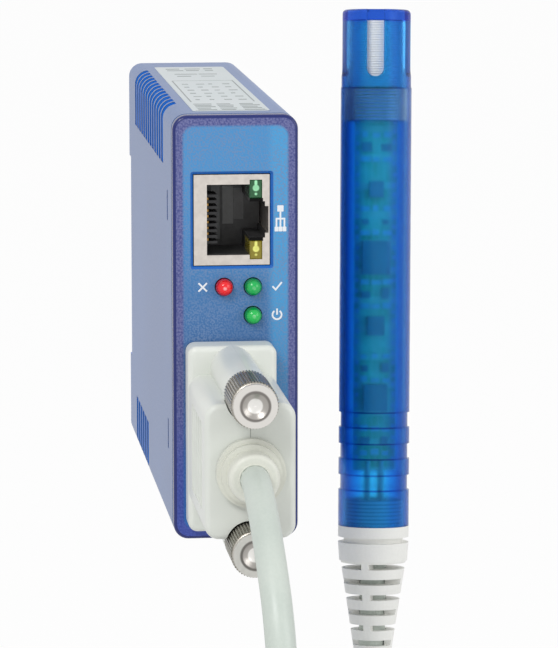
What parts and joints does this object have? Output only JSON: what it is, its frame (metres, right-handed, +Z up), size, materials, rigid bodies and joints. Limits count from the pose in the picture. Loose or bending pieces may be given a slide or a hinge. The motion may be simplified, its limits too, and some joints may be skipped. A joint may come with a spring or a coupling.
{
  "type": "ethernet thermo-hygrometer",
  "caption": "Slim translucent rail-mount network housing with status lamps, a network socket and a plug-in temperature and humidity probe on a coiled cable.",
  "frame": {"origin": "middle of the seat that lies flat against the rail, on the housing's middle plane", "axes": "+Z up, +X to the right seen from the front, +Y into the rail; the front panel faces -Y"},
  "size_m": [0.051, 0.1817, 0.1989],
  "materials": {
    "housing": "translucent blue, finely textured front, satin sides",
    "latch": "moulded blue, matte",
    "spring": "bright spring strip",
    "board": "green solder mask",
    "chips": "matte black moulding",
    "tinned_shield": "tin plate, satin",
    "black_insert": "matte black",
    "gold_contacts": "gold flash",
    "green_lamp": "clear tinted green",
    "yellow_lamp": "clear tinted yellow",
    "red_lamp": "clear tinted red",
    "nickel": "nickel plate, knurled",
    "hood": "off-white, satin gloss",
    "gland": "cream, satin",
    "cable": "pale grey jacket, satin",
    "tie": "natural white, satin",
    "probe_shell": "clear tinted blue, polished",
    "filter": "fine white mesh",
    "wires": "white insulation",
    "boot": "off-white soft moulding"
  },
  "bodies": {
    "unit": {"housing_body": "housing", "front_panel": "housing", "latch_spring": "spring", "main_board": "board", "board_chips": "chips", "network_jack_shield": "tinned_shield", "network_jack_insert": "black_insert", "network_jack_contacts": "gold_contacts", "network_jack_link_led": "green_lamp", "network_jack_activity_led": "yellow_lamp", "error_led": "red_lamp", "status_led": "green_lamp", "power_led": "green_lamp", "led_leads": "tinned_shield", "sensor_socket_shell": "tinned_shield", "sensor_socket_insert": "black_insert", "sensor_socket_pins": "gold_contacts", "standoffs": "nickel", "plug_shell": "tinned_shield", "plug_insert": "black_insert", "plug_pins": "gold_contacts", "plug_hood_left": "hood", "plug_hood_right": "hood", "plug_cable_gland": "gland", "cable_drop": "cable", "cable_coil": "cable", "cable_rise": "cable", "coil_tie": "tie", "probe_tube": "probe_shell", "probe_cap": "probe_shell", "probe_filter": "filter", "probe_board": "board", "probe_board_chips": "chips", "sensor_element": "chips", "probe_wires": "wires", "probe_boot": "boot"},
    "rail_latch": {"rail_latch": "latch"},
    "upper_thumbscrew": {"upper_thumbscrew": "nickel"},
    "lower_thumbscrew": {"lower_thumbscrew": "nickel"}
  },
  "joints": [
    {"name": "rail_latch_slide", "type": "slide", "parent": "unit", "child": "rail_latch", "axis": [0, 0, -1], "range_m": [0, 0.003], "stiffness_N_per_m": 600, "springref_m": -0.002, "deforming": ["latch_spring"]},
    {"name": "upper_thumbscrew_turn", "type": "hinge", "parent": "unit", "child": "upper_thumbscrew", "pos_m": [-0.00115, -0.1372, -0.0061], "axis": [0, -1, 0], "continuous": true},
    {"name": "lower_thumbscrew_turn", "type": "hinge", "parent": "unit", "child": "lower_thumbscrew", "pos_m": [-0.00115, -0.1372, -0.0311], "axis": [0, -1, 0], "continuous": true}
  ]
}
